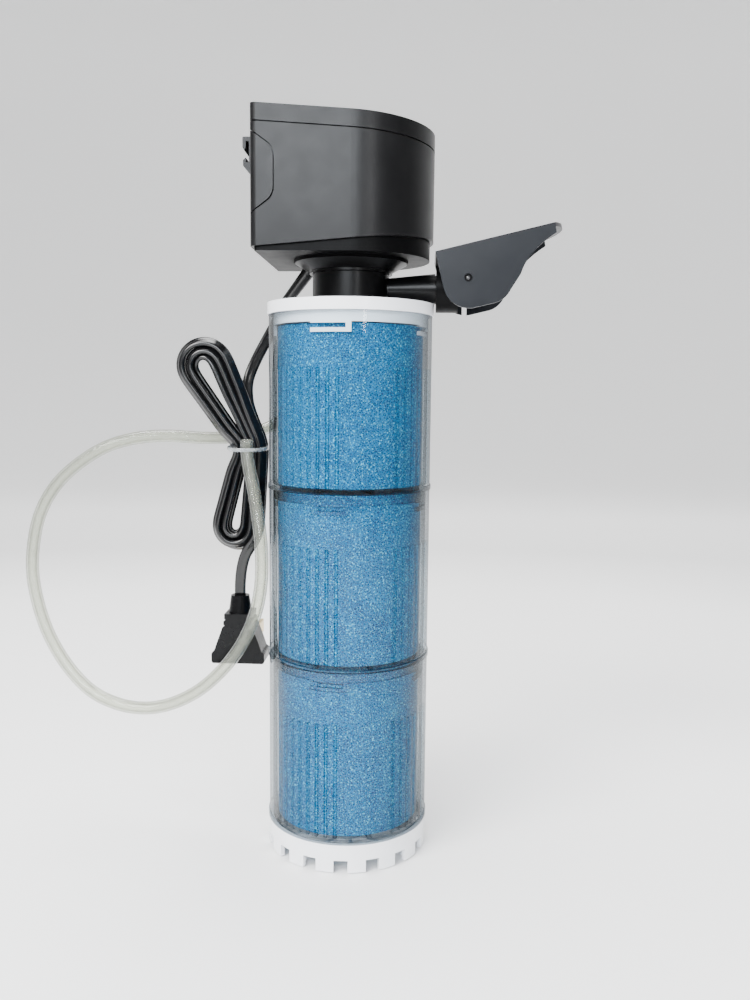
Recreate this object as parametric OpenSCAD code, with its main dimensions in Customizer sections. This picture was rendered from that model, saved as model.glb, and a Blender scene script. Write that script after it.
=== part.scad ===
// Internal power filter: a submersible pump head on a column of three clear cups
// that hold foam cartridges. The column's axis is Z and it stands on Z = 0.
// +X is the outlet side and -Y is the side with the shell's plain flank.

/* [Canister] */
// Outer radius of the clear cups
cup_r = 37.4; // [36.8:0.1:38]
// Height that each cup adds to the column
cup_pitch = 78.6; // [74:0.1:84]
// Wall thickness of the clear cups
cup_wall = 1.8; // [1.6:0.1:2.4]
// Number of inlet slots in each of a cup's four groups
slots_per_group = 8; // [4:1:9]
// Height of the inlet slots
slot_h = 52; // [30:1:58]
// Radius of the foam cartridges
sponge_r = 33.3; // [30:0.1:33.3]

/* [Bayonet] */
// Angle that a cup turns to come off its bayonet
twist_deg = 26; // [22:1:28]
// Direction of the first bayonet tab's closed end
tab_end_deg = 275; // [250:1:290]

/* [Foot and cap] */
// Height of the castellated foot
foot_h = 13; // [12:0.5:16]
// Number of teeth round the foot
foot_teeth = 16; // [12:1:20]
// Radius of the cap's rim
cap_r = 38; // [37.6:0.1:39]
// Thickness of the cap's rim
cap_t = 5.2; // [4:0.1:7]

/* [Pump head] */
// Half width of the head and radius of its nose
head_r = 35; // [34:0.5:37]
// Distance from the column's axis to the head's flat back
head_back = 40.2; // [38:0.1:42]
// Height of the head's top face above the column's axis
head_top = 330.3; // [328:0.1:336]
// Downward slope of the top face towards the outlet
top_slope = 4; // [0:0.5:6]
// Upward slope of the shell's lower edge towards the outlet
hem_slope = 4.9; // [0:0.1:6]
// Wall thickness of the head's shell
shell_wall = 2.2; // [1.8:0.1:3]

/* [Pump] */
// Outer radius of the pump neck
neck_r = 17.45; // [16:0.05:17.45]
// Radius of the impeller
impeller_r = 12.5; // [10:0.5:13.5]
// Number of impeller blades
blades = 6; // [4:1:8]
// Radius of the magnet
magnet_r = 8; // [6:0.1:8.1]

/* [Nozzle] */
// Upward tilt of the hood at rest
hood_deg = 13.6; // [8:0.1:16]
// Half width of the hood over its cheeks
hood_half_w = 19.2; // [18.8:0.1:20]
// Radius of the hood's pivot pins
pin_r = 1.7; // [1.4:0.1:2.4]

/* [Cords] */
// Width of the flat power cord
cord_w = 5.3; // [4.5:0.1:6]
// Thickness of the flat power cord
cord_t = 2.8; // [2.4:0.1:3.2]
// Diameter of the air hose
hose_d = 6; // [5:0.5:6]

/* [Hidden] */

eps = 0.01;
big = 200;
gap = 0.15;
groups = 4;
quarter = 90;

// Canister heights
cup_ri = cup_r - cup_wall;
seat_3 = foot_h;
seat_2 = seat_3 + cup_pitch;
seat_1 = seat_2 + cup_pitch;
seat_cap = seat_1 + cup_pitch;
cap_top = seat_cap + cap_t;
flange_r = cup_r + 0.5;
flange_t = 2;
grid_hub_r = 7;
slot_w = 1.2;
slot_pitch_deg = 6.8;
slot_group_deg = 242;
slot_from_flange = 2.6;

// Bayonet: a skirt with four L-shaped tabs drops into the cup below
skirt_r = cup_ri - 0.4;
skirt_ri = skirt_r - 1.5;
skirt_h = 4.8;
tab_h = 9.2;
tab_deg = 30;
tab_slot_deg = 26;
tab_slot_top = 5.4;
tab_slot_h = 2;
lug_deg = 19;
lug_h = 1.6;
lug_ri = skirt_ri + 0.5;

// Foot
tooth_h = 5.6;
tooth_gap_deg = 9.8;
foot_r = cup_r + 0.2;
foot_hub_r = 9;
foot_rib_w = 2.4;
foot_rib_h = 1.8;

// Cap
cap_plate_t = 2.4;
cap_collar_z = seat_cap - 3.4;

// Pump head heights
seam_z = head_top - 7;
cover_t = 2.2;
resin_z = 276.2;
resin_top = 308;
resin_inset = 4.6;
panel_low = 287.8;
panel_high = 322.6;
rail_mid = 315;
rail_half_l = 24;
pump_seat_z = 273.3;
seam_gap = 0.6;
hem_z = 278.3;
nose_x = 2.3;
back_corner_r = 3;
base_inset = 1.6;
lip_h = 4;
panel_t = 1.4;
groove = 0.5;
flank_len = 10.5;

// Pump
outlet_z = 260.8;
chamber_r = 14.5;
chamber_floor = 255.4;
floor_t = 2;
neck_bottom = seat_cap - 2.3;
pump_flange_r = 26;
well_ri = 8.6;
well_r = 10.2;
well_top = 305;
well_cap_t = 1.6;
well_flange_z = 272;
magnet_z = 276;
stem_r = 2.6;
bush_r = 2.4;
eye_r = 6.5;
throat_r = 3.3;
spigot_bore_r = 4.8;
nipple_x = 22;
nipple_z = 262;
nipple_r = 2;
nipple_len = 14;
shaft_r = 1.25;
core_bottom = 280.6;
core_h = 20;
arm_y = 4.8;
arm_w = 11;
coil_from = -28;
coil_to = -17;

// Nozzle
collar_r = 10.2;
cone_r = 7.2;
cone_end = 32.5;
barrel_x = 38.8;
spigot_r = 6.4;
spigot_end = 47.5;
mouth_x = 60;
mouth_half_w = 16.6;
barrel_half_h = 6;
pivot = [52.5, 0, 264.1];
cheek_t = 1.8;
roof_low = 12.4;
roof_high = 14.2;
cheek_y = hood_half_w - cheek_t;

// Cord routes, chosen by hand
gland_foot = [-21, 22.5, pump_seat_z];
gland_dir = unit([-0.62, 0.32, -0.72]);
gland_len = 20;
gland_root_r = 3.6;
lead_route = [[-33.5, 29, 259], [-38, 29, 250], [-42.5, 24, 240], [-47, 17, 229],
    [-51, 12, 219], [-53, 8, 211], [-54, 6, 205]];
tail_route = [[-54, 4, 142], [-54, 4, 136], [-53.5, 4, 129], [-52.7, 4, 122], [-52.7, 4, 116]];
hose_route = [[22, 14, 262], [22, 22, 262], [21, 34, 260], [18, 43, 254], [11, 48, 244],
    [1, 50, 232], [-12, 49, 219], [-26, 44, 208], [-39, 35, 199], [-49, 25, 194],
    [-59, 16, 192], [-72, 7, 192], [-86, 2, 193], [-100, -1, 192], [-114, -3, 188],
    [-127, -4, 180], [-138, -4, 170], [-146, -4, 157], [-150, -4, 142], [-151, -4, 126],
    [-148, -4, 109], [-142, -5, 94], [-132, -7, 80], [-120, -9, 70], [-104, -11, 65],
    [-88, -13, 66], [-72, -15, 73], [-59, -18, 84], [-48, -21, 98], [-41, -22, 113],
    [-38, -22, 128], [-38, -21, 143], [-40, -18, 157], [-43, -13, 170], [-46, -9, 181],
    [-47, -7.5, 187], [-47, -7.5, 193]];
hank_y = 4;
hank_t = 12.5;
waist = [-47.8, 188];
waist_r = 8.3;
top_lobe = [-69, 226];
top_lobe_r = 14.5;
low_lobe = [-54.5, 150];
low_lobe_r = 13.5;
plug_pos = [-52.7, 4, 85];
plug_t = 15;
tie_w = 1.6;
tie_front = -10.6;

// ---------- helpers ----------

function arc(cx, cy, r, from, to, n) =
    [for (i = [0:n]) let (a = from + (to - from) * i / n) [cx + r * cos(a), cy + r * sin(a)]];

function bend(a, b, c, n) =
    [for (i = [1:n]) let (t = i / n) (1 - t) * (1 - t) * a + 2 * t * (1 - t) * b + t * t * c];

function unit(v) = v / norm(v);

// Point at t between p1 and p2 on a smooth curve through four points
function smooth(p0, p1, p2, p3, t) =
    0.5 * (2 * p1 + (p2 - p0) * t + (2 * p0 - 5 * p1 + 4 * p2 - p3) * t * t
        + (3 * p1 - p0 - 3 * p2 + p3) * t * t * t);

// Direction of a route at its i-th point
function heading(route, i) =
    unit(route[min(i + 1, len(route) - 1)] - route[max(i - 1, 0)]);

// Carries a sideways vector on to the next direction of a route
function carry(side, dir) = unit(side - dir * (side * dir));

// A route with extra rings between its points
function fine(route, n) =
    concat([for (i = [0:len(route) - 2], k = [0:n - 1])
        smooth(route[max(i - 1, 0)], route[i], route[i + 1], route[min(i + 2, len(route) - 1)],
            k / n)], [route[len(route) - 1]]);

// Sweeps a cord w wide and t thick along a route, its width starting along side
module swept(route, w, t, sides, side) {
    n = len(route);
    dirs = [for (i = [0:n - 1]) heading(route, i)];
    across = [for (i = 0, s = carry(side, dirs[0]); i < n; i = i + 1, s = carry(s, dirs[min(i, n - 1)])) s];
    points = [for (i = [0:n - 1], k = [0:sides - 1]) let (a = 360 * (k + 0.5) / sides)
        route[i] + across[i] * cos(a) * w / 2 + cross(across[i], dirs[i]) * sin(a) * t / 2];
    walls = [for (i = [0:n - 2], k = [0:sides - 1]) let (a = i * sides + k, b = i * sides + (k + 1) % sides)
        each [[a, b, b + sides], [a, b + sides, a + sides]]];
    start_cap = [for (k = [0:sides - 1]) sides - 1 - k];
    end_cap = [for (k = [0:sides - 1]) (n - 1) * sides + k];
    polyhedron(points, concat(walls, [start_cap, end_cap]), convexity = 10);
}

// Direction of a cup's inlet slot s in group g
function slot_angle(g, s) =
    slot_group_deg + g * quarter + (s - (slots_per_group - 1) / 2) * slot_pitch_deg;

module tube(r, ri, h, z = 0) {
    translate([0, 0, z]) difference() {
        cylinder(h = h, r = r, $fn = 96);
        translate([0, 0, -eps]) cylinder(h = h + 2 * eps, r = ri, $fn = 96);
    }
}

// Sector of a ring from one angle to another, less than half a turn
module sector(r, ri, from, to, z, h) {
    reach = 2 * r;
    translate([0, 0, z]) linear_extrude(h) intersection() {
        difference() {
            circle(r = r, $fn = 96);
            circle(r = ri, $fn = 96);
        }
        polygon([[0, 0], [reach * cos(from), reach * sin(from)],
            [reach * cos(to), reach * sin(to)]]);
    }
}

// Everything above a plane that tilts about Y; positive slopes fall towards +X
module above(z, slope) {
    translate([0, 0, z]) rotate([0, slope, 0])
        translate([-big, -big, 0]) cube([2 * big, 2 * big, big]);
}

// Everything below such a plane
module below(z, slope) {
    translate([0, 0, z]) rotate([0, slope, 0])
        translate([-big, -big, -big]) cube([2 * big, 2 * big, big]);
}

module x_cylinder(x, z, h, r1, r2) {
    translate([x, 0, z]) rotate([0, 90, 0]) cylinder(h = h, r1 = r1, r2 = r2, $fn = 64);
}

// ---------- canister ----------

// Skirt and tabs that hang below a seat
module bayonet_skirt(seat) {
    tube(skirt_r, skirt_ri, skirt_h + eps, seat - skirt_h);
    for (i = [0:groups - 1]) {
        end = tab_end_deg + i * quarter;
        difference() {
            sector(skirt_r, skirt_ri, end - tab_deg, end, seat - tab_h, tab_h - skirt_h + eps);
            sector(skirt_r + 1, skirt_ri - 1, end - tab_deg - 1, end - tab_deg + tab_slot_deg,
                seat - tab_slot_top - tab_slot_h, tab_slot_h);
        }
    }
}

// Lugs inside the wall below a seat, which the tabs hook under
module bayonet_lugs(seat) {
    slack = (tab_slot_h - lug_h) / 2;
    for (i = [0:groups - 1]) {
        end = tab_end_deg + i * quarter - (tab_deg - tab_slot_deg) - 0.4;
        sector(cup_ri + 0.4, lug_ri, end - lug_deg, end,
            seat - tab_slot_top - tab_slot_h + slack, lug_h);
    }
}

// Floor of a cup: an open grid that carries the foam
module cup_grid(seat) {
    tube(skirt_r, skirt_ri - 1.2, flange_t, seat);
    tube(grid_hub_r, grid_hub_r - 2, flange_t, seat);
    for (i = [0:7])
        rotate([0, 0, i * 45 + 22.5]) translate([grid_hub_r - 1, -0.9, seat])
            cube([skirt_ri - grid_hub_r, 1.8, flange_t]);
}

module cup(seat) {
    color([0.85, 0.9, 0.92, 0.35]) {
        difference() {
            union() {
                tube(cup_r, cup_ri, cup_pitch - gap, seat);
                tube(flange_r, skirt_ri, flange_t, seat);
            }
            for (g = [0:groups - 1], s = [0:slots_per_group - 1])
                rotate([0, 0, slot_angle(g, s)])
                    translate([cup_ri - 1, -slot_w / 2, seat + slot_from_flange])
                        cube([cup_wall + 2, slot_w, slot_h]);
        }
        bayonet_skirt(seat);
        bayonet_lugs(seat + cup_pitch);
        cup_grid(seat);
    }
}

module cup_1() { cup(seat_1); }
module cup_2() { cup(seat_2); }
module cup_3() { cup(seat_3); }

module sponge(seat, top) {
    low = seat + flange_t + 0.2;
    color([0.2, 0.55, 0.78]) translate([0, 0, low])
        cylinder(h = top - low, r = sponge_r, $fn = 96);
}

module sponge_1() { sponge(seat_1, seat_cap - skirt_h - 0.4); }
module sponge_2() { sponge(seat_2, seat_1 - 0.6); }
module sponge_3() { sponge(seat_3, seat_2 - 0.6); }

module foot() {
    tooth_pitch = 360 / foot_teeth;
    color([0.93, 0.94, 0.97]) {
        difference() {
            tube(foot_r, cup_ri, foot_h - gap);
            for (i = [0:foot_teeth - 1])
                sector(foot_r + 2, cup_ri - 2, i * tooth_pitch - tooth_gap_deg / 2,
                    i * tooth_pitch + tooth_gap_deg / 2, -eps, tooth_h);
        }
        bayonet_lugs(foot_h);
        cylinder(h = foot_rib_h, r = foot_hub_r, $fn = 64);
        for (i = [0:7])
            rotate([0, 0, i * 45 + tooth_pitch / 2])
                translate([foot_hub_r - 1, -foot_rib_w / 2, 0])
                    cube([cup_ri - foot_hub_r + 1.5, foot_rib_w, foot_rib_h]);
    }
}

module top_cap() {
    bore = neck_r + 0.07;
    color([0.95, 0.95, 0.98]) {
        difference() {
            translate([0, 0, seat_cap]) cylinder(h = cap_t, r = cap_r, $fn = 128);
            translate([0, 0, seat_cap - eps]) cylinder(h = cap_t - cap_plate_t, r = skirt_ri, $fn = 96);
            translate([0, 0, seat_cap]) cylinder(h = cap_t + 1, r = bore, $fn = 96);
        }
        tube(bore + 2.4, bore, cap_top - 1 - cap_collar_z, cap_collar_z);
        bayonet_skirt(seat_cap);
    }
}

// ---------- pump ----------

module volute_housing() {
    taper_z = cap_top + 14.4;
    color([0.06, 0.06, 0.065]) difference() {
        union() {
            translate([0, 0, neck_bottom])
                cylinder(h = taper_z - neck_bottom + eps, r = neck_r, $fn = 96);
            translate([0, 0, taper_z - 1]) cylinder(h = 1, r = neck_r + 1.4, $fn = 96);
            translate([0, 0, taper_z])
                cylinder(h = well_flange_z - taper_z, r1 = neck_r + 1.4, r2 = pump_flange_r - 0.6,
                    $fn = 96);
            outlet_pipe();
            air_nipple();
        }
        translate([0, 0, chamber_floor])
            cylinder(h = well_flange_z - chamber_floor + eps, r = chamber_r, $fn = 96);
        translate([0, 0, neck_bottom - eps])
            cylinder(h = chamber_floor - floor_t - neck_bottom + eps, r = chamber_r, $fn = 96);
        translate([0, 0, neck_bottom]) cylinder(h = 20, r = eye_r, $fn = 64);
        x_cylinder(chamber_r - 1.5, outlet_z, cone_end - chamber_r, throat_r, spigot_bore_r);
        x_cylinder(cone_end - 1.5, outlet_z, 30, spigot_bore_r, spigot_bore_r);
        translate([nipple_x, 0, nipple_z]) rotate([-90, 0, 0])
            cylinder(h = 30, r = 1.1, $fn = 32);
    }
}

// Venturi pipe from the chamber: a narrow throat, a widening cone and the spigot
module outlet_pipe() {
    root_x = neck_r - 2;
    difference() {
        x_cylinder(root_x, outlet_z, barrel_x - 0.5 - root_x, 5, cone_r);
        translate([barrel_x - 10, -big / 2, cap_top + 0.6 - big]) cube([10, big, big]);
    }
    x_cylinder(barrel_x - 1, outlet_z, spigot_end - barrel_x + 1, spigot_r, spigot_r);
}

module air_nipple() {
    translate([nipple_x, 0, nipple_z]) rotate([-90, 0, 0]) {
        cylinder(h = nipple_len, r = nipple_r, $fn = 32);
        translate([0, 0, nipple_len - 3]) cylinder(h = 1.5, r1 = nipple_r + 0.3, r2 = nipple_r, $fn = 32);
    }
}

// Bearing carrier in the eye of the chamber floor
module inlet_spider() {
    z = chamber_floor - floor_t - 2.2;
    color([0.1, 0.1, 0.11]) {
        tube(eye_r + 2.6, eye_r, 2.2, z);
        tube(bush_r + 1, bush_r, 2.2, z);
        for (i = [0:2])
            rotate([0, 0, i * 120 + 30]) translate([bush_r + 0.6, -0.7, z])
                cube([eye_r - bush_r - 0.2, 1.4, 2.2]);
    }
}

module lower_bush() {
    z = chamber_floor - floor_t - 2.2;
    color([0.12, 0.12, 0.12]) difference() {
        translate([0, 0, z - 0.6]) cylinder(h = 3.6, r = bush_r, $fn = 48);
        translate([0, 0, z + 0.4]) cylinder(h = 4, r = shaft_r, $fn = 48);
    }
}

module upper_bush() {
    color([0.12, 0.12, 0.12])
        tube(4, shaft_r, 2.4, well_top - well_cap_t - 2.4);
}

module rotor_shaft() {
    low = chamber_floor - floor_t - 1.8;
    color([0.92, 0.92, 0.9]) translate([0, 0, low])
        cylinder(h = well_top - well_cap_t - 0.2 - low, r = shaft_r, $fn = 48);
}

module rotor_magnet() {
    color([0.2, 0.2, 0.21]) tube(magnet_r, stem_r, 22, magnet_z);
}

module impeller() {
    low = chamber_floor + 1.6;
    blade_h = 8.6;
    color([0.85, 0.86, 0.88]) difference() {
        union() {
            translate([0, 0, low]) cylinder(h = magnet_z - low, r = 4.2, $fn = 64);
            translate([0, 0, low]) cylinder(h = magnet_z + 22 - low, r = stem_r, $fn = 64);
            translate([0, 0, low + blade_h]) cylinder(h = 1.4, r = impeller_r + 0.4, $fn = 64);
            for (i = [0:blades - 1])
                rotate([0, 0, i * 360 / blades]) translate([3.6, -0.7, low])
                    cube([impeller_r - 3.6, 1.4, blade_h + 0.5]);
        }
        translate([0, 0, low - 1]) cylinder(h = 60, r = shaft_r + 0.07, $fn = 48);
    }
}

// ---------- motor ----------

module rotor_well() {
    color([0.08, 0.08, 0.09]) difference() {
        union() {
            translate([0, 0, well_flange_z])
                cylinder(h = pump_seat_z + 2 - well_flange_z, r = pump_flange_r, $fn = 96);
            translate([0, 0, well_flange_z])
                cylinder(h = well_top - well_flange_z, r = well_r, $fn = 96);
        }
        translate([0, 0, well_flange_z - eps])
            cylinder(h = well_top - well_cap_t - well_flange_z + eps, r = well_ri, $fn = 96);
    }
}

// Plan of the laminated core: a yoke, two arms and two poles round the well
module core_plan() {
    difference() {
        union() {
            circle(r = 16.2, $fn = 96);
            translate([-35, arm_y]) square([35, arm_w]);
            translate([-35, -arm_y - arm_w]) square([35, arm_w]);
            translate([-36.4, -arm_y - arm_w]) square([6.4, 2 * (arm_y + arm_w)]);
        }
        circle(r = well_r, $fn = 96);
        translate([-28, -1.5]) square([60, 3]);
        translate([-30, -arm_y]) square([19, 2 * arm_y]);
    }
}

module stator_core() {
    color([0.45, 0.46, 0.48]) translate([0, 0, core_bottom]) linear_extrude(core_h) core_plan();
}

// Rectangular sleeve round both arms of the core
module arm_sleeve(from, to, inner, outer) {
    for (side = [-1, 1])
        translate([from, side * (arm_y + arm_w / 2), core_bottom + core_h / 2])
            difference() {
                translate([0, -arm_w / 2 - outer, -core_h / 2 - outer])
                    cube([to - from, arm_w + 2 * outer, core_h + 2 * outer]);
                translate([-1, -arm_w / 2 - inner, -core_h / 2 - inner])
                    cube([to - from + 2, arm_w + 2 * inner, core_h + 2 * inner]);
            }
}

module coil_bobbins() {
    color([0.9, 0.9, 0.85]) {
        arm_sleeve(coil_from, coil_to, 0, 1.1);
        arm_sleeve(coil_from, coil_from + 1.1, 0, 4);
        arm_sleeve(coil_to - 1.1, coil_to, 0, 4);
    }
}

module coil_windings() {
    color([0.72, 0.38, 0.16]) arm_sleeve(coil_from + 1.1, coil_to - 1.1, 1.1, 3.6);
}

// Sealing resin round the core, the coils and the well
module resin_fill() {
    color([0.16, 0.15, 0.14]) difference() {
        translate([0, 0, resin_z]) linear_extrude(resin_top - resin_z) head_plan(resin_inset);
        translate([0, 0, resin_z - 1]) cylinder(h = well_top - resin_z + 1, r = well_r, $fn = 96);
        translate([0, 0, core_bottom]) linear_extrude(core_h) core_plan();
        arm_sleeve(coil_from, coil_to, -1, 3.6);
        arm_sleeve(coil_from, coil_from + 1.1, 0, 4);
        arm_sleeve(coil_to - 1.1, coil_to, 0, 4);
        gland_bar(gland_root_r + 0.2, -12, 12);
    }
}

// ---------- head casing ----------

// Plan of the head, drawn in by inset: flat back, straight flanks and a round nose
module head_plan(inset = 0) {
    r = head_r - inset;
    back = inset - head_back;
    corner = max(back_corner_r - inset, 0.5);
    translate([nose_x, 0]) circle(r = r, $fn = 128);
    translate([back + corner, -r]) square([nose_x - back - corner, 2 * r]);
    translate([back, corner - r]) square([nose_x - back, 2 * (r - corner)]);
    for (side = [-1, 1])
        translate([back + corner, side * (r - corner)]) circle(r = corner, $fn = 32);
}

module head_prism(inset, low = 250) {
    translate([0, 0, low]) linear_extrude(head_top + 20 - low) head_plan(inset);
}

// Ring of the head's plan between two insets
module head_ring(outer, inner) {
    difference() {
        head_prism(outer);
        head_prism(inner, 249);
    }
}

// Side outline of the rear panel's wrap, drawn in by inset
module panel_outline(inset) {
    r = 7;
    front = flank_len - inset;
    low = panel_low + inset;
    high = panel_high - inset;
    slant = 5.5;
    polygon(concat(
        [[-8, low - 0.6], [0, low]],
        arc(front - r, low + slant + r - 1.5, r, -58, 0, 6),
        arc(front - r, high - slant - r + 1.5, r, 0, 58, 6),
        [[0, high], [-8, high + 0.6]]));
}

module panel_prism(inset) {
    translate([-head_back, head_r + 5, 0]) rotate([90, 0, 0])
        linear_extrude(2 * head_r + 10) panel_outline(inset);
}

module head_shell() {
    color([0.07, 0.07, 0.075]) difference() {
        head_ring(0, shell_wall);
        above(seam_z, top_slope);
        below(hem_z, -hem_slope);
        intersection() {
            head_ring(-2, 0.9);
            above(seam_z - seam_gap, top_slope);
        }
        intersection() {
            head_ring(-2, panel_t + 0.05);
            panel_prism(0);
        }
    }
}

module head_top_cover() {
    color([0.07, 0.07, 0.075]) {
        difference() {
            head_prism(0);
            below(seam_z, top_slope);
            above(head_top, top_slope);
            difference() {
                head_prism(shell_wall, 240);
                above(head_top - cover_t, top_slope);
            }
        }
        difference() {
            head_ring(shell_wall + 0.1, shell_wall + 2);
            below(seam_z - lip_h, top_slope);
            above(head_top - cover_t + eps, top_slope);
        }
    }
}

module base_cover() {
    color([0.05, 0.05, 0.055]) difference() {
        union() {
            difference() {
                head_prism(base_inset, pump_seat_z);
                above(hem_z, -hem_slope);
            }
            difference() {
                head_prism(shell_wall + 0.1, pump_seat_z);
                above(hem_z + lip_h, -hem_slope);
            }
        }
        head_prism(shell_wall + 2.2, pump_seat_z + 2);
        translate([0, 0, pump_seat_z - 1]) cylinder(h = 6, r = pump_flange_r, $fn = 96);
        gland_bar(gland_root_r, -10, 8);
    }
}

// Rail profile: two lips that face each other, standing off the panel's back
module hanger_profile() {
    polygon([[-0.5, rail_mid + 7], [4.8, rail_mid + 7], [4.8, rail_mid + 2.6],
        [4.1, rail_mid + 1.4], [3.4, rail_mid + 2.6], [3.4, rail_mid + 5.2],
        [2, rail_mid + 5.2], [2, rail_mid - 3.6], [3.4, rail_mid - 3.6],
        [3.4, rail_mid - 1.6], [4.6, rail_mid - 2.6], [4.6, rail_mid - 5],
        [0.6, rail_mid - 9.2], [-0.5, rail_mid - 9.2]]);
}

module rear_panel() {
    color([0.06, 0.06, 0.065]) {
        intersection() {
            head_ring(0, panel_t);
            panel_prism(groove);
        }
        translate([-head_back, rail_half_l, 0]) rotate([90, 0, 0])
            mirror([1, 0, 0]) linear_extrude(2 * rail_half_l) hanger_profile();
    }
}

// ---------- nozzle ----------

module nozzle_barrel() {
    top = outlet_z + barrel_half_h;
    low = outlet_z - barrel_half_h;
    inner_w = spigot_bore_r + 1.2;
    color([0.06, 0.06, 0.065]) difference() {
        union() {
            x_cylinder(barrel_x, outlet_z, 9.8, collar_r, collar_r);
            translate([0, 0, low]) linear_extrude(2 * barrel_half_h)
                polygon([[45, -9.4], [48, -collar_r], [mouth_x, -mouth_half_w],
                    [mouth_x, mouth_half_w], [48, collar_r], [45, 9.4]]);
            for (side = [-1, 1]) {
                pivot_bar(3.6, side * 10.6, side * (cheek_y - 0.2));
                pivot_bar(pin_r, side * 10.6, side * (hood_half_w - 0.8));
            }
        }
        x_cylinder(barrel_x - 1, outlet_z, spigot_end - barrel_x + 1.5, spigot_r + 0.07, spigot_r + 0.07);
        x_cylinder(barrel_x, outlet_z, 10.2, spigot_bore_r, spigot_bore_r);
        translate([0, 0, low + 1.7]) linear_extrude(2 * barrel_half_h - 3.4)
            polygon([[48.6, -inner_w], [mouth_x + 1, 1.9 - mouth_half_w],
                [mouth_x + 1, mouth_half_w - 1.9], [48.6, inner_w]]);
    }
}

// Round bar on the hood's pivot axis from one Y to another
module pivot_bar(r, from, to) {
    translate([pivot[0], max(from, to), pivot[2]]) rotate([90, 0, 0])
        cylinder(h = abs(to - from), r = r, $fn = 48);
}

// Cheek outline in the hood's own frame: pivot at the origin, roof along X
module cheek_outline() {
    polygon(concat(
        [[-11.4, roof_high - 0.4], [-11.4, 1]],
        arc(0.2, -1.5, 11.6, 180, 265, 12),
        arc(8.6, -2.7, 10.4, 272, 322, 8),
        [[22.4, -3.6]],
        bend([22.4, -3.6], [27.4, 5.2], [40.8, 9.8], 10),
        [[41, roof_high - 0.4]]));
}

module nozzle_hood() {
    roof_r = 37.8;
    roof_cx = 8.5;
    color([0.07, 0.07, 0.075]) difference() {
        translate(pivot) rotate([0, -hood_deg, 0]) {
            for (y = [-cheek_y, hood_half_w])
                translate([0, y, 0]) rotate([90, 0, 0]) linear_extrude(cheek_t) cheek_outline();
            translate([0, 0, roof_low]) linear_extrude(roof_high - roof_low) intersection() {
                translate([-11.4, -hood_half_w]) square([60, 2 * hood_half_w]);
                translate([roof_cx, 0]) circle(r = roof_r, $fn = 128);
            }
        }
        pivot_bar(pin_r + 0.07, -hood_half_w - 2, hood_half_w + 2);
        translate([pivot[0] - 1.1, cheek_y - 1, pivot[2] - 30]) cube([2.2, 4, 30]);
    }
}

// ---------- cords ----------

// Round bar along the cord gland's axis, between two distances from its foot
module gland_bar(r, from, to, tip_r = 0) {
    translate(gland_foot + gland_dir * from)
        rotate([0, acos(gland_dir[2]), atan2(gland_dir[1], gland_dir[0])])
            cylinder(h = to - from, r1 = r, r2 = tip_r > 0 ? tip_r : r, $fn = 48);
}

module cord_gland() {
    color([0.04, 0.04, 0.045]) {
        gland_bar(gland_root_r, -3, 1.5);
        gland_bar(3.1, 1, gland_len, 2.7);
    }
}

module cord_lead() {
    color([0.03, 0.03, 0.035]) swept(fine(lead_route, 2), cord_w, cord_t, 8, [1, 0, 0]);
}

module cord_hank() {
    color([0.03, 0.03, 0.035])
        translate([0, hank_y + hank_t / 2, 0]) rotate([90, 0, 0]) linear_extrude(hank_t) {
            hull() {
                translate(waist) circle(r = waist_r, $fn = 32);
                translate(top_lobe) circle(r = top_lobe_r, $fn = 32);
            }
            hull() {
                translate(waist) circle(r = waist_r, $fn = 32);
                translate(low_lobe) circle(r = low_lobe_r, $fn = 32);
            }
        }
}

module cord_tail() {
    color([0.03, 0.03, 0.035]) swept(tail_route, cord_w, cord_t, 8, [1, 0, 0]);
}

module tie_plan(spread) {
    back = hank_y + hank_t / 2;
    translate([waist[0], (back + tie_front) / 2])
        square([2 * waist_r + 2 * spread, back - tie_front + 2 * spread], center = true);
}

module twist_tie() {
    color([0.75, 0.77, 0.8]) translate([0, 0, waist[1] - tie_w / 2]) linear_extrude(tie_w)
        difference() {
            tie_plan(0.9);
            tie_plan(0.3);
        }
}

module plug_body() {
    half = [[4, 24], [6.4, 24], [6.4, 21.6], [5.6, 21.2], [6.8, 20.4], [6.8, 18.8], [6, 18.4],
        [7.4, 17.4], [8, 15.6], [10.4, 9], [11.4, 5.8], [12.4, 5.2], [12.7, 4.4]];
    color([0.03, 0.03, 0.035]) translate(plug_pos) {
        translate([0, plug_t / 2, 0]) rotate([90, 0, 0]) linear_extrude(plug_t)
            polygon(concat(half, arc(11.5, 1.2, 1.2, 0, -90, 4),
                arc(-11.5, 1.2, 1.2, -90, -180, 4),
                [for (i = [len(half) - 1:-1:0]) [-half[i][0], half[i][1]]]));
        translate([0, 0, 22]) cylinder(h = 10, r1 = 5.8, r2 = 4.4, $fn = 48);
    }
}

module plug_blades() {
    color([0.75, 0.66, 0.42]) for (side = [-1, 1])
        translate(plug_pos + [side * 6.35 - 0.75, plug_t / 2, 8]) cube([1.5, 17, 6.35]);
}

module air_hose() {
    color([0.8, 0.84, 0.85, 0.5]) swept(hose_route, hose_d, hose_d, 10, [0, 0, 1]);
}

foot();
cup_3();
sponge_3();
cup_2();
sponge_2();
cup_1();
sponge_1();
top_cap();
volute_housing();
inlet_spider();
lower_bush();
upper_bush();
rotor_shaft();
rotor_magnet();
impeller();
rotor_well();
stator_core();
coil_bobbins();
coil_windings();
resin_fill();
base_cover();
head_shell();
head_top_cover();
rear_panel();
nozzle_barrel();
nozzle_hood();
cord_gland();
cord_lead();
cord_hank();
cord_tail();
twist_tie();
plug_body();
plug_blades();
air_hose();
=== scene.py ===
import math

import bpy
from mathutils import Matrix, Vector


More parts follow.
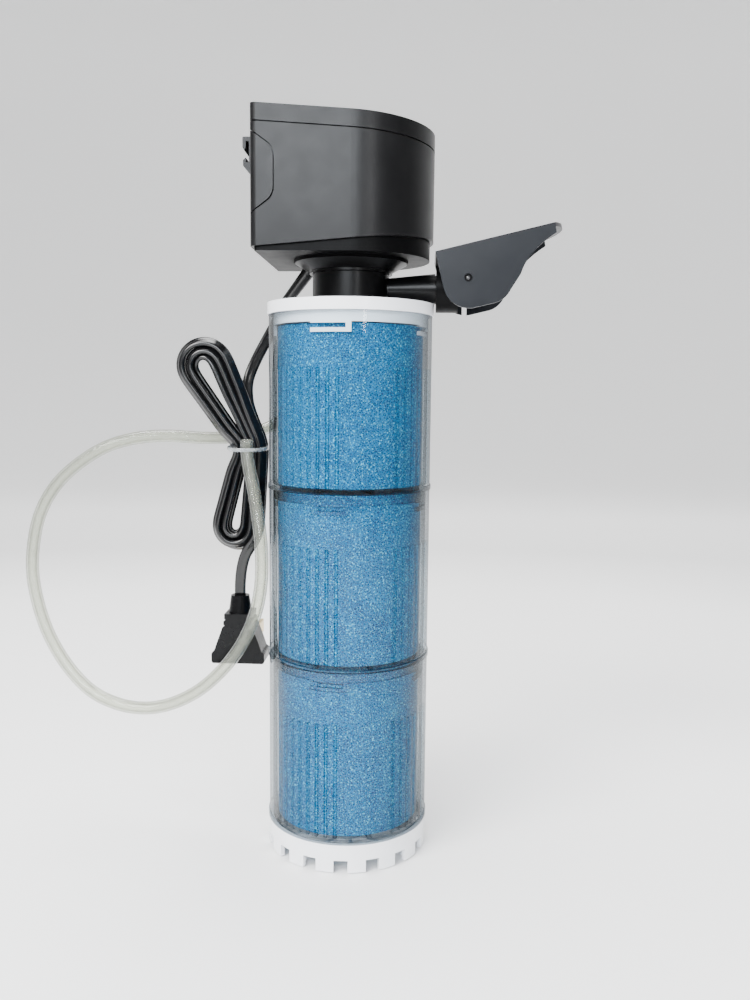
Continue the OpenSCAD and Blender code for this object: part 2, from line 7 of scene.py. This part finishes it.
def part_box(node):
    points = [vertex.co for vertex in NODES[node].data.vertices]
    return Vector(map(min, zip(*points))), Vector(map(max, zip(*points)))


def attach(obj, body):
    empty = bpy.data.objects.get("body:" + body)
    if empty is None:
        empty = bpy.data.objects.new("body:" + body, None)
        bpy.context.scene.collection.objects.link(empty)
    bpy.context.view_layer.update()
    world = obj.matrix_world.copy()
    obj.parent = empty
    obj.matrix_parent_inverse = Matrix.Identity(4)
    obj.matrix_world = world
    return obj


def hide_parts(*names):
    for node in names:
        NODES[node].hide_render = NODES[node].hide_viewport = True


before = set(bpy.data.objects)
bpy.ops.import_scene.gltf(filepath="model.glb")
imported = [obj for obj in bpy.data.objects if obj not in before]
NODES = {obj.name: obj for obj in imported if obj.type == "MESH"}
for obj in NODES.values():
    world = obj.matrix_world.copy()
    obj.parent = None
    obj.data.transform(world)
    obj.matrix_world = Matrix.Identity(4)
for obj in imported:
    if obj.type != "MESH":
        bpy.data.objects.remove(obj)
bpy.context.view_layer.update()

MM = 0.001


# ---------- camera ----------

CAMERA_AT = Vector((0.0337, -0.4285, 0.2128))
YAW, PITCH, ROLL = (math.radians(a) for a in (2.9, -6.45, 0.58))
LENS = 33.2


def aim(yaw, pitch, roll):
    """Camera axes that look along +Y, turned towards -X, tipped and rolled."""
    ahead = Vector((-math.sin(yaw) * math.cos(pitch), math.cos(yaw) * math.cos(pitch), math.sin(pitch)))
    right = ahead.cross(Vector((0, 0, 1))).normalized()
    up = right.cross(ahead)
    side = right * math.cos(roll) + up * math.sin(roll)
    top = up * math.cos(roll) - right * math.sin(roll)
    return Matrix((side, top, -ahead)).transposed()


camera = bpy.data.objects.new("Camera", bpy.data.cameras.new("Camera"))
camera.data.lens = LENS
camera.data.sensor_width = 36
camera.data.clip_start = 0.01
camera.matrix_world = Matrix.Translation(CAMERA_AT) @ aim(YAW, PITCH, ROLL).to_4x4()
bpy.context.scene.collection.objects.link(camera)
bpy.context.scene.camera = camera


# ---------- helpers for routes and meshes ----------

def add(name, verts, faces):
    """A new smooth-shaded object from plain lists."""
    mesh = bpy.data.meshes.new(name)
    mesh.from_pydata([tuple(v) for v in verts], [], faces)
    mesh.update()
    mesh.polygons.foreach_set("use_smooth", [True] * len(mesh.polygons))
    obj = bpy.data.objects.new(name, mesh)
    bpy.context.scene.collection.objects.link(obj)
    return obj


def smooth_line(points, steps):
    """Catmull-Rom curve through the points, steps to a span."""
    pts = [Vector(p) for p in points]
    out = []
    for i in range(len(pts) - 1):
        a, b = pts[max(i - 1, 0)], pts[i]
        c, d = pts[i + 1], pts[min(i + 2, len(pts) - 1)]
        for k in range(steps):
            t = k / steps
            out.append(0.5 * (2 * b + (c - a) * t + (2 * a - 5 * b + 4 * c - d) * t * t
                              + (3 * b - a - 3 * c + d) * t ** 3))
    return out + [pts[-1]]


def even(points, step):
    """The same line with its points a fixed step apart."""
    out = [Vector(points[0])]
    left = step
    for a, b in zip(points, points[1:]):
        gap = (b - a).length
        at = left
        while at <= gap:
            out.append(a.lerp(b, at / gap))
            at += step
        left = at - gap
    if (out[-1] - points[-1]).length > step / 2:
        out.append(Vector(points[-1]))
    return out


def relax(points, rounds):
    """Evens out kinks, ends held."""
    pts = list(points)
    for _ in range(rounds):
        pts = [pts[0]] + [(a + 2 * b + c) / 4 for a, b, c in zip(pts, pts[1:], pts[2:])] + [pts[-1]]
    return pts


def length_of(points):
    return sum((b - a).length for a, b in zip(points, points[1:]))


def headings(points):
    last = len(points) - 1
    return [(points[min(i + 1, last)] - points[max(i - 1, 0)]).normalized() for i in range(last + 1)]


def sweep(name, points, profile, across, bore=None):
    """Mesh tube along the points. profile gives (across, up) pairs; bore, a second one inside it."""
    dirs = headings(points)
    n = len(profile)
    verts = []
    for outline in [profile] + ([bore] if bore else []):
        for p, d, wide in zip(points, dirs, across):
            wide = (wide - d * wide.dot(d)).normalized()
            up = wide.cross(d)
            verts += [p + wide * u + up * v for u, v in outline]
    faces = []
    rings = len(points)
    for i in range(rings - 1):
        for k in range(n):
            a, b = i * n + k, i * n + (k + 1) % n
            faces.append((a, b, b + n, a + n))
            if bore:
                c, d = a + rings * n, b + rings * n
                faces.append((c, c + n, d + n, d))
    last = (rings - 1) * n
    if bore:
        shift = rings * n
        for k in range(n):
            m = (k + 1) % n
            faces.append((k, k + shift, m + shift, m))
            faces.append((last + k, last + m, last + m + shift, last + k + shift))
    else:
        faces.append(tuple(range(n - 1, -1, -1)))
        faces.append(tuple(last + k for k in range(n)))
    return add(name, verts, faces)


def transported(points, first):
    """A sideways vector carried along the line without twist."""
    out = []
    side = Vector(first)
    for d in headings(points):
        side = (side - d * side.dot(d)).normalized()
        out.append(side.copy())
    return out


def circle_profile(r, n=20):
    return [(r * math.cos(2 * math.pi * k / n), r * math.sin(2 * math.pi * k / n)) for k in range(n)]


# ---------- power cord: lead, hank and tail in one piece ----------

CORD_W, CORD_T = 5.3 * MM, 2.8 * MM
LEAD = [(-33.5, 29, 259), (-38, 29, 250), (-42.5, 24, 240), (-47, 17, 229), (-50, 12, 219),
        (-49.5, 9, 210)]
TAIL = [(-49.6, 2.4, 137.6), (-51.6, 3.5, 131), (-52.6, 4, 124), (-52.7, 4, 116.5)]
WAIST, WAIST_R = Vector((-47.8, 188)), 8.3
TOP, TOP_R = Vector((-69, 226)), 14.5
LOW, LOW_R = Vector((-54.5, 150)), 13.5
WAIST_INSET, WAIST_PITCH = 1.8, 2.7
LOBE_INSET, LOBE_PITCH = 2.3, 3.6
INMOST = 1.9
REAR, FRONT = 6.9, 1.1
WAVE = 0.3
TAIL_LEAVES_AT = 7
TILT_IN_HANK = math.radians(52)
TILT_RUN = 26 * MM
TILT_LEAD_IN, TILT_LEAD_OUT = 14 * MM, 12 * MM


def flank_points(side, step):
    """Ends of the hank's straight runs, from the waist to the two lobes, on one side, step turns in."""
    out = []
    for centre, r in ((TOP, TOP_R), (LOW, LOW_R)):
        axis = (centre - WAIST).normalized()
        turn = side if centre is TOP else -side
        lean = math.asin((r - WAIST_R) / (centre - WAIST).length)
        normal = Matrix.Rotation(-turn * (math.pi / 2 + lean), 2) @ axis
        out.append((WAIST + normal * (WAIST_R - WAIST_INSET - WAIST_PITCH * step),
                    centre + normal * lobe_radius(r, step), normal))
    return out


def lobe_radius(r, step):
    """Radius of a turn's centreline in a lobe."""
    return r - LOBE_INSET - LOBE_PITCH * step


def lobe(centre, r, start, end, n, way):
    """Arc round a centre from one direction to another, turning the given way."""
    a0, a1 = math.atan2(start.y, start.x), math.atan2(end.y, end.x)
    while way * (a1 - a0) < 0:
        a1 += way * 2 * math.pi
    return [centre + Vector((math.cos(a0 + (a1 - a0) * k / n), math.sin(a0 + (a1 - a0) * k / n))) * r
            for k in range(n + 1)]


def turn_outline(step):
    """One closed turn: down the right side, round the low lobe, up the left and over the top lobe."""
    right, left = flank_points(1, step), flank_points(-1, step)
    up_r, low_r = right
    up_l, low_l = left
    pts = [up_r[0].lerp(up_r[1], t) for t in (0.4, 0.2)]
    pts += [(up_r[0] + low_r[0]) / 2]
    pts += [low_r[0].lerp(low_r[1], t) for t in (0.3, 0.65)]
    pts += lobe(LOW, lobe_radius(LOW_R, step), low_r[2], low_l[2], 9, -1)
    pts += [low_l[0].lerp(low_l[1], t) for t in (0.65, 0.3)]
    pts += [(up_l[0] + low_l[0]) / 2]
    pts += [up_l[0].lerp(up_l[1], t) for t in (0.3, 0.65)]
    pts += lobe(TOP, lobe_radius(TOP_R, step), up_l[2], up_r[2], 12, -1)
    pts += [up_r[0].lerp(up_r[1], t) for t in (0.8, 0.6)]
    return pts


def hank_route():
    """Turns spiral inwards at the rear, cross to the front at the inside and spiral out again."""
    plan = [(0, 1, REAR, REAR), (1, INMOST, REAR, REAR), (INMOST, INMOST, REAR, FRONT),
            (INMOST, 1, FRONT, FRONT), (1, 0, FRONT, FRONT), (0, 0, FRONT, FRONT)]
    out = []
    for index, (m0, m1, y0, y1) in enumerate(plan):
        outlines = [turn_outline(m) for m in (m0, m1)]
        count = len(outlines[0])
        for k, (a, b) in enumerate(zip(*outlines)):
            t = k / count
            p = a.lerp(b, t)
            wave = WAVE * math.sin(5 * index + 7 * t)
            out.append((p.x + wave, y0 + (y1 - y0) * t + wave, p.y))
            if index == len(plan) - 1 and k == TAIL_LEAVES_AT:
                return out
    return out


hank = hank_route()
route = [Vector(p) * MM for p in LEAD + hank + TAIL]
lead_share = length_of([Vector(p) * MM for p in LEAD])
line = relax(even(smooth_line(route, 8), 1.6 * MM), 6)
whole = length_of(line)
tail_len = length_of([Vector(p) * MM for p in [hank[-1]] + TAIL])


def flat_side(points):
    """The cord's wide side faces -Y on the lead and the tail, and is tilted in the hank."""
    out = []
    done = 0
    for i, (p, d) in enumerate(zip(points, headings(points))):
        if i:
            done += (p - points[i - 1]).length
        enter = min(max((done - lead_share + TILT_LEAD_IN) / TILT_RUN, 0), 1)
        leave = min(max((whole - tail_len + TILT_LEAD_OUT - done) / TILT_RUN, 0), 1)
        share = min(enter, leave)
        share = share * share * (3 - 2 * share)
        flat = d.cross(Vector((0, 1, 0)))
        flat = flat.normalized() if flat.length > 0.05 else Vector((1, 0, 0))
        angle = share * TILT_IN_HANK
        out.append(flat * math.cos(angle) + Vector((0, 1, 0)) * math.sin(angle))
    return out


def twin_profile(w, t, n=20):
    """Outline of a flat twin cord: two round cores side by side with a shallow groove."""
    out = []
    for k in range(n):
        a = 2 * math.pi * (k + 0.5) / n
        u = w / 2 * math.cos(a)
        v = t / 2 * math.copysign(abs(math.sin(a)) ** 0.55, math.sin(a))
        out.append((u, v * (1 - 0.3 * math.exp(-(u / (0.12 * w)) ** 2))))
    return out


cord = sweep("power_cord", line, twin_profile(CORD_W, CORD_T), flat_side(line))
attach(cord, "head")
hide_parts("cord_lead", "cord_hank", "cord_tail")


# ---------- air hose ----------

HOSE_D, HOSE_BORE = 6 * MM, 4 * MM
HOSE = [(22, 14, 262), (22, 22, 262), (21, 34, 260), (18, 43, 254), (11, 48, 244), (1, 50, 232),
        (-12, 49, 219), (-26, 44, 208), (-39, 35, 199), (-49, 25, 194), (-59, 16, 192),
        (-72, 7, 192), (-86, 2, 193), (-100, -1, 192), (-114, -3, 188), (-127, -4, 180),
        (-138, -4, 170), (-146, -4, 157), (-150, -4, 142), (-151, -4, 126), (-148, -4, 109),
        (-142, -5, 94), (-132, -7, 80), (-120, -9, 70), (-104, -11, 65), (-88, -13, 66),
        (-72, -15, 73), (-59, -18, 84), (-48, -21, 98), (-41, -22, 113), (-38, -22, 128),
        (-38, -21, 143), (-40, -18, 157), (-43, -13, 170), (-46, -9, 181), (-47, -7.5, 187),
        (-47, -7.5, 193)]
hose_line = relax(even(smooth_line([Vector(p) * MM for p in HOSE], 8), 2 * MM), 4)
hose = sweep("air_hose_tube", hose_line, circle_profile(HOSE_D / 2, 24),
             transported(hose_line, (0, 0, 1)), circle_profile(HOSE_BORE / 2, 24))
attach(hose, "head")
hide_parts("air_hose")


# ---------- tie: a thin clear band pulled round the hank and the hose ----------

TIE_MID, TIE_HALF = Vector((-47.8, -0.2, 188)), (9.0, 10.6)
TIE_SIDES = 64
TIE_SECTION = ((0, -0.8), (0.35, -0.8), (0.45, 0), (0.35, 0.8), (0, 0.8))


def tie_band():
    """Rounded loop round the bundle, its front a little lower than its back."""
    loop = []
    for k in range(TIE_SIDES):
        a = 2 * math.pi * k / TIE_SIDES
        c, d = math.cos(a), math.sin(a)
        x = TIE_HALF[0] * math.copysign(abs(c) ** 0.75, c)
        y = TIE_HALF[1] * math.copysign(abs(d) ** 0.85, d)
        loop.append((TIE_MID + Vector((x, y, 0.05 * y))) * MM)
    verts, faces = [], []
    for i, p in enumerate(loop):
        out = (p - TIE_MID * MM).normalized()
        for push, lift in TIE_SECTION:
            verts.append(p + out * (push * MM) + Vector((0, 0, lift * MM)))
    n = len(TIE_SECTION)
    for i in range(TIE_SIDES):
        a, b = n * i, n * ((i + 1) % TIE_SIDES)
        faces += [(a + k, b + k, b + (k + 1) % n, a + (k + 1) % n) for k in range(n)]
    return add("tie_band", verts, faces)


tie = tie_band()
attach(tie, "head")
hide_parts("twist_tie")


# ---------- materials ----------

class Nodes:
    """Builds one material's nodes; a link is an output socket, a constant is set on the input."""

    def __init__(self, name):
        self.mat = bpy.data.materials.new(name)
        self.mat.use_nodes = True
        self.tree = self.mat.node_tree
        self.tree.nodes.clear()
        self.out = self.tree.nodes.new("ShaderNodeOutputMaterial")
        self.coord = self.tree.nodes.new("ShaderNodeTexCoord").outputs["Object"]

    def make(self, kind, settings=None, **inputs):
        node = self.tree.nodes.new("ShaderNode" + kind)
        for key, value in (settings or {}).items():
            setattr(node, key, value)
        for key, value in inputs.items():
            self.put(node.inputs[key.replace("_", " ")], value)
        return node

    def put(self, socket, value):
        if isinstance(value, bpy.types.NodeSocket):
            self.tree.links.new(value, socket)
        else:
            socket.default_value = value

    def noise(self, scale, detail=3.0, rough=0.5):
        return self.make("TexNoise", Vector=self.coord, Scale=scale, Detail=detail,
                         Roughness=rough).outputs[0]

    def ramp(self, fac, low, high, start=0.0, end=1.0):
        node = self.make("MapRange", None)
        self.put(node.inputs[0], fac)
        for slot, value in zip((1, 2, 3, 4), (start, end, low, high)):
            node.inputs[slot].default_value = value
        return node.outputs[0]

    def mix(self, fac, a, b):
        node = self.make("Mix", {"data_type": "RGBA"})
        self.put(node.inputs[0], fac)
        self.put(node.inputs[6], a)
        self.put(node.inputs[7], b)
        return node.outputs[2]

    def bump(self, height, distance, strength=1.0):
        return self.make("Bump", None, Height=height, Distance=distance, Strength=strength).outputs[0]

    def surface(self, shader):
        self.tree.links.new(shader, self.out.inputs["Surface"])
        return self.mat

    def principled(self, **inputs):
        return self.make("BsdfPrincipled", None, **inputs).outputs[0]


def rgb(r, g, b):
    return (r, g, b, 1)


def moulded(name, low, high, rough, grain=0.00004, grain_scale=2600, coat=0.0, spec=0.5):
    """Moulded plastic: uneven sheen, a fine grain, and faint clouds in its colour."""
    n = Nodes(name)
    cloud = n.noise(60, 4)
    grainy = n.noise(grain_scale, 2)
    sheen = n.ramp(n.noise(140, 5, 0.6), rough - 0.025, rough + 0.035, 0.3, 0.7)
    colour = n.mix(n.ramp(cloud, 0, 1, 0.3, 0.7), rgb(*low), rgb(*high))
    return n.surface(n.principled(
        Base_Color=colour, Roughness=sheen, Specular_IOR_Level=spec, Coat_Weight=coat,
        Coat_Roughness=0.12, Normal=n.bump(grainy, grain)))


def foam():
    """Open-cell foam: painted light on the struts round painted shade in the cells, with a few painted
    glints.
    """
    n = Nodes("foam_blue")
    warp = n.make("VectorMath", {"operation": "ADD"})
    n.put(warp.inputs[0], n.coord)
    tint = n.make("TexNoise", Vector=n.coord, Scale=700.0, Detail=2.0)
    shrink = n.make("VectorMath", {"operation": "SCALE"})
    n.put(shrink.inputs[0], tint.outputs["Color"])
    shrink.inputs["Scale"].default_value = 0.0009
    n.put(warp.inputs[1], shrink.outputs[0])
    cells = n.make("TexVoronoi", {"feature": "DISTANCE_TO_EDGE"}, Vector=warp.outputs[0], Scale=1080.0)
    points = n.make("TexVoronoi", {"feature": "F1"}, Vector=warp.outputs[0], Scale=1050.0)
    strut = n.ramp(cells.outputs["Distance"], 1, 0, 0.02, 0.2)
    cloud = n.noise(90, 3)
    # painted shade: the cells are darkened as if shade falls into the pores; the struts carry painted
    # light
    painted_cell_shade = n.mix(n.ramp(cloud, 0, 1, 0.3, 0.7), rgb(0.0, 0.04, 0.13), rgb(0.0, 0.07, 0.2))
    painted_strut_light = n.mix(n.ramp(cloud, 0, 1, 0.3, 0.7), rgb(0.0, 0.235, 0.53), rgb(0.0, 0.3, 0.63))
    body = n.mix(strut, painted_cell_shade, painted_strut_light)
    # painted glints: small bright cyan spots standing in for highlights on the foam
    painted_glint = n.ramp(n.noise(1500, 1), 0, 1, 0.62, 0.68)
    colour = n.mix(painted_glint, body, rgb(0.12, 0.75, 1.0))
    wet = n.ramp(points.outputs["Distance"], 0.2, 0.65, 0.1, 0.5)
    return n.surface(n.principled(
        Base_Color=colour, Roughness=wet, Specular_IOR_Level=0.2, Normal=n.bump(strut, 0.0006, 0.9)))


def clear(name, tint, edge, haze=0.0, gloss_rough=0.03, power=5.0, top=0.6,
          milky=(0.75, 0.8, 0.82)):
    """Thin clear plastic: see-through when faced, darker and brighter-skinned at its edges."""
    n = Nodes(name)
    facing = n.make("LayerWeight", None, Blend=0.5).outputs["Facing"]
    steep = n.make("Math", {"operation": "POWER"})
    n.put(steep.inputs[0], facing)
    steep.inputs[1].default_value = power
    wave = n.noise(45, 2)
    dim = n.make("Math", {"operation": "POWER"})
    n.put(dim.inputs[0], facing)
    dim.inputs[1].default_value = power * 0.5
    colour = n.mix(dim.outputs[0], rgb(*tint), rgb(*edge))
    through = n.make("BsdfTransparent", None, Color=colour).outputs[0]
    shine = n.make("BsdfGlossy", None, Color=rgb(1, 1, 1), Roughness=gloss_rough,
                   Normal=n.bump(wave, 0.0004, 0.35)).outputs[0]
    milk = n.make("BsdfDiffuse", None, Color=rgb(*milky)).outputs[0]
    scuff = n.ramp(n.noise(400, 6, 0.7), haze * 0.5, haze * 1.5, 0.3, 0.7)
    hazy = n.make("MixShader", None)
    n.put(hazy.inputs[0], scuff)
    n.put(hazy.inputs[1], through)
    n.put(hazy.inputs[2], milk)
    both = n.make("MixShader", None)
    n.put(both.inputs[0], n.ramp(steep.outputs[0], 0.008, top))
    n.put(both.inputs[1], hazy.outputs[0])
    n.put(both.inputs[2], shine)
    return n.surface(both.outputs[0])


def metal(name, colour, rough, scale=(900, 40)):
    n = Nodes(name)
    streak = n.ramp(n.noise(scale[0], 3), rough - 0.08, rough + 0.1, 0.3, 0.7)
    tone = n.mix(n.noise(scale[1], 4), rgb(*[c * 0.8 for c in colour]), rgb(*colour))
    return n.surface(n.principled(Base_Color=tone, Metallic=1.0, Roughness=streak,
                                  Normal=n.bump(n.noise(scale[0], 2), 0.00003)))


BLACK = moulded("black_satin", (0.004, 0.004, 0.0044), (0.0065, 0.0065, 0.007), 0.33, 0.00001, 1500,
                spec=0.17)
HOOD = moulded("hood_satin", (0.005, 0.006, 0.008), (0.008, 0.009, 0.0115), 0.3, 0.000006, 1500,
               spec=0.18)
# painted shade: the underside, neck and barrel parts use darker copies of the black satin plastic, with
# less sheen, so they stand dark as if in shade
UNDER_SHADED = moulded("black_under_painted_shade", (0.001, 0.001, 0.0012), (0.002, 0.002, 0.0022), 0.4, 0.00001, 1500,
                spec=0.06)
NECK_SHADED = moulded("black_neck_painted_shade", (0.001, 0.001, 0.0012), (0.002, 0.002, 0.0022), 0.3, 0.00001, 1500,
               spec=0.14)
WHITE = moulded("white_gloss", (0.84, 0.85, 0.89), (0.9, 0.91, 0.94), 0.24, 0.00001, 900,
                coat=0.3)
CORD = moulded("cord_vinyl", (0.002, 0.002, 0.0024), (0.0045, 0.0045, 0.005), 0.2, 0.00001, 1400,
               spec=0.45)
PLUG = moulded("plug_vinyl", (0.002, 0.002, 0.0024), (0.004, 0.004, 0.0045), 0.26, 0.00003, 1800,
               spec=0.13)
DARK = moulded("dark_moulding", (0.02, 0.02, 0.022), (0.035, 0.035, 0.038), 0.45)
PALE = moulded("pale_moulding", (0.55, 0.56, 0.58), (0.66, 0.67, 0.68), 0.35)
CERAMIC = moulded("ceramic_shaft", (0.75, 0.74, 0.7), (0.82, 0.81, 0.78), 0.15)
FERRITE = moulded("ferrite", (0.03, 0.03, 0.032), (0.05, 0.05, 0.052), 0.5, 0.00005, 1500)
RESIN = moulded("potting_resin", (0.012, 0.011, 0.01), (0.022, 0.02, 0.018), 0.2, 0.0001, 200)
STEEL = metal("core_steel", (0.42, 0.43, 0.45), 0.4)
COPPER = metal("copper_wire", (0.75, 0.33, 0.14), 0.3)
BRASS = metal("blade_brass", (0.78, 0.62, 0.32), 0.28)
TIE = clear("tie_film", (0.7, 0.72, 0.74), (0.3, 0.32, 0.34), 0.2, 0.15, 2.0)
CUP = clear("cup_clear", (0.93, 0.96, 0.975), (0.1, 0.12, 0.14), 0.004, 0.03, 4.0, 0.42)
HOSE_MAT = clear("hose_vinyl", (0.88, 0.89, 0.85), (0.4, 0.41, 0.35), 0.07, 0.1, 2.5, 0.6,
                 (0.72, 0.74, 0.68))
SHINY = moulded("pin_polished", (0.02, 0.02, 0.022), (0.03, 0.03, 0.032), 0.12, 0.000004, 1500)
FOAM = foam()

LOOKS = {
    "foot": WHITE, "top_cap": WHITE, "volute_housing": NECK_SHADED, "inlet_spider": DARK,
    "lower_bush": DARK, "upper_bush": DARK, "rotor_shaft": CERAMIC, "rotor_magnet": FERRITE,
    "impeller": PALE, "rotor_well": UNDER_SHADED, "stator_core": STEEL, "coil_bobbins": PALE,
    "coil_windings": COPPER, "resin_fill": RESIN, "base_cover": UNDER_SHADED, "head_shell": BLACK,
    "head_top_cover": BLACK, "rear_panel": BLACK, "nozzle_barrel": UNDER_SHADED, "nozzle_hood": HOOD,
    "cord_gland": CORD, "plug_body": PLUG, "plug_blades": BRASS,
}
for i in "123":
    LOOKS["cup_" + i] = CUP
    LOOKS["sponge_" + i] = FOAM
for node, look in LOOKS.items():
    NODES[node].data.materials.clear()
    NODES[node].data.materials.append(look)
cord.data.materials.append(CORD)
hose.data.materials.append(HOSE_MAT)
tie.data.materials.append(TIE)


# ---------- bevelled edges on the moulded parts ----------

def soften(node, width, angle=32):
    """Rounds a CAD part's sharp edges, as a mould does."""
    obj = NODES[node]
    bevel = obj.modifiers.new("edge", "BEVEL")
    bevel.width = width
    bevel.segments = 2
    bevel.limit_method = "ANGLE"
    bevel.angle_limit = math.radians(angle)
    bevel.harden_normals = True


for node in ("head_shell", "head_top_cover", "rear_panel", "nozzle_hood", "nozzle_barrel"):
    soften(node, 0.55 * MM)
for node in ("top_cap", "foot", "base_cover"):
    soften(node, 0.3 * MM)
for node in ("plug_body", "volute_housing"):
    soften(node, 0.6 * MM)


# ---------- domed ends of the hood's pivot pins ----------

PIN_X, PIN_Z = 52.5, 264.1
DOME_R, DOME_H = 1.0, 0.5


def pin_dome(side):
    """A shallow shiny dome on the end of a pivot pin."""
    centre = Vector((PIN_X * MM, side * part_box("nozzle_barrel")[1][1], PIN_Z * MM))
    verts, faces, rows, sides = [], [], 5, 24
    for i in range(rows + 1):
        a = math.pi / 2 * i / rows
        for k in range(sides):
            b = 2 * math.pi * k / sides
            r = DOME_R * math.cos(a)
            rise = side * DOME_H * math.sin(a)
            verts.append(centre + Vector((r * math.cos(b), rise, r * math.sin(b))) * MM)
    for i in range(rows):
        for k in range(sides):
            a, b = i * sides + k, i * sides + (k + 1) % sides
            faces.append((a, b, b + sides, a + sides) if side < 0 else (a, a + sides, b + sides, b))
    dome = add("pin_dome_" + ("near" if side < 0 else "far"), verts, faces)
    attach(dome, "barrel")
    dome.data.materials.append(SHINY)


for side in (-1, 1):
    pin_dome(side)


# ---------- stage ----------

def studio_floor():
    """Pale paper underfoot and behind; the room round the table is dimmer, as painted shade that greys
    the paper further out in front and to the sides, and the paper glows as painted light, more towards
    the back.
    """
    n = Nodes("studio_floor")
    paper = n.mix(n.noise(6, 3), rgb(0.86, 0.86, 0.86), rgb(0.9, 0.9, 0.9))
    place = n.make("SeparateXYZ", None, Vector=n.coord)
    behind = n.ramp(place.outputs["Y"], 0, 1, 0.2, 1.2)
    reach = n.make("VectorMath", {"operation": "LENGTH"})
    n.put(reach.inputs[0], n.coord)
    near = n.ramp(reach.outputs["Value"], 1, 0, 0.6, 1.4)
    # painted pool of light: paper colour near the middle and behind, grey elsewhere
    painted_light_pool = n.make("Math", {"operation": "MAXIMUM"})
    n.put(painted_light_pool.inputs[0], near)
    n.put(painted_light_pool.inputs[1], behind)
    # painted light: the floor glows, more towards the back, though it is no lamp
    return n.surface(n.principled(
        Base_Color=n.mix(painted_light_pool.outputs[0], rgb(0.4, 0.4, 0.4), paper), Roughness=0.6,
        Emission_Color=rgb(1, 1, 1), Emission_Strength=n.ramp(behind, 0.06, 0.4)))


def cyclorama(radius, height, bend_r, sides=96, n=16):
    """Round floor that curves up into a wall all the way round."""
    side = [(radius - bend_r + bend_r * math.sin(a), bend_r - bend_r * math.cos(a))
            for a in (math.pi / 2 * k / n for k in range(n + 1))]
    side += [(radius, height)]
    verts = [(r * math.cos(2 * math.pi * k / sides), r * math.sin(2 * math.pi * k / sides), z)
             for r, z in side for k in range(sides)]
    faces = [tuple(range(sides))]
    for i in range(len(side) - 1):
        for k in range(sides):
            a, b = i * sides + k, i * sides + (k + 1) % sides
            faces.append((a, a + sides, b + sides, b))
    return add("studio_cove", verts, faces)


floor = cyclorama(radius=3.2, height=3.0, bend_r=1.4)
floor.location.z = -0.0005
floor.data.materials.append(studio_floor())


def softbox(name, at, target, size, power, colour=(1, 1, 1)):
    """A soft rectangular light at one place, aimed at another."""
    lamp = bpy.data.lights.new(name, "AREA")
    lamp.shape = "RECTANGLE"
    lamp.size, lamp.size_y = size
    lamp.energy = power
    lamp.color = colour
    obj = bpy.data.objects.new(name, lamp)
    obj.location = at
    obj.rotation_euler = (Vector(target) - Vector(at)).to_track_quat("-Z", "Y").to_euler()
    bpy.context.scene.collection.objects.link(obj)


softbox("key", (-0.75, -0.9, 1.15), (0, 0, 0.2), (0.7, 0.7), 46, (1, 0.99, 0.97))
softbox("front", (-0.2, -1.25, 0.7), (-0.02, 0, 0.29), (0.62, 0.42), 23,
        (0.9, 0.95, 1))
softbox("nose", (0.5, -1.15, 0.62), (0, 0, 0.28), (0.1, 0.6), 5, (0.97, 0.98, 1))
softbox("over", (-0.1, 0.1, 1.5), (0, 0, 0.2), (1.0, 0.8), 40)
softbox("back", (0.5, 1.0, 1.2), (0, 0, 0.25), (1.0, 0.6), 8)
world = bpy.data.worlds.new("studio")
bpy.context.scene.world = world
world.use_nodes = True
world.node_tree.nodes["Background"].inputs["Color"].default_value = (0.93, 0.96, 1, 1)
world.node_tree.nodes["Background"].inputs["Strength"].default_value = 0.12
